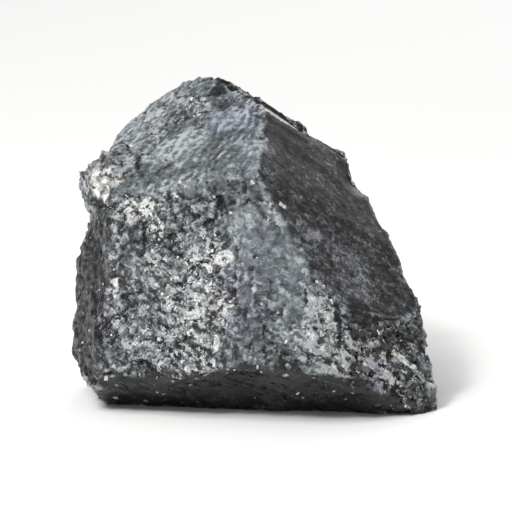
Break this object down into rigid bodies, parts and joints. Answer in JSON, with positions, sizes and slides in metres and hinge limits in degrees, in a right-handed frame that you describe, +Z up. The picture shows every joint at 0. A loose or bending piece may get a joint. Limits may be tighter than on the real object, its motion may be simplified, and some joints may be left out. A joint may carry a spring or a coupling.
{
  "type": "black tourmaline stone",
  "caption": "Broken block of black tourmaline with grooved prism faces, rough fractures and a pale feldspar knob on one shoulder, resting on a flat face.",
  "frame": {"origin": "on the floor, under the middle of the stone's bounding box", "axes": "+Z up; -Y is the broad fracture that faces the viewer; +X is the side of the dark prism face. The crystal's axis leans down to +X and +Y"},
  "size_m": [0.059, 0.052, 0.0504],
  "materials": {
    "tourmaline": "vitreous black mineral, dusted grey on its rough fractures, glossier on its grooved prism faces, with a pale feldspar knob"
  },
  "bodies": {
    "root": {"black_tourmaline": "tourmaline"}
  },
  "joints": []
}
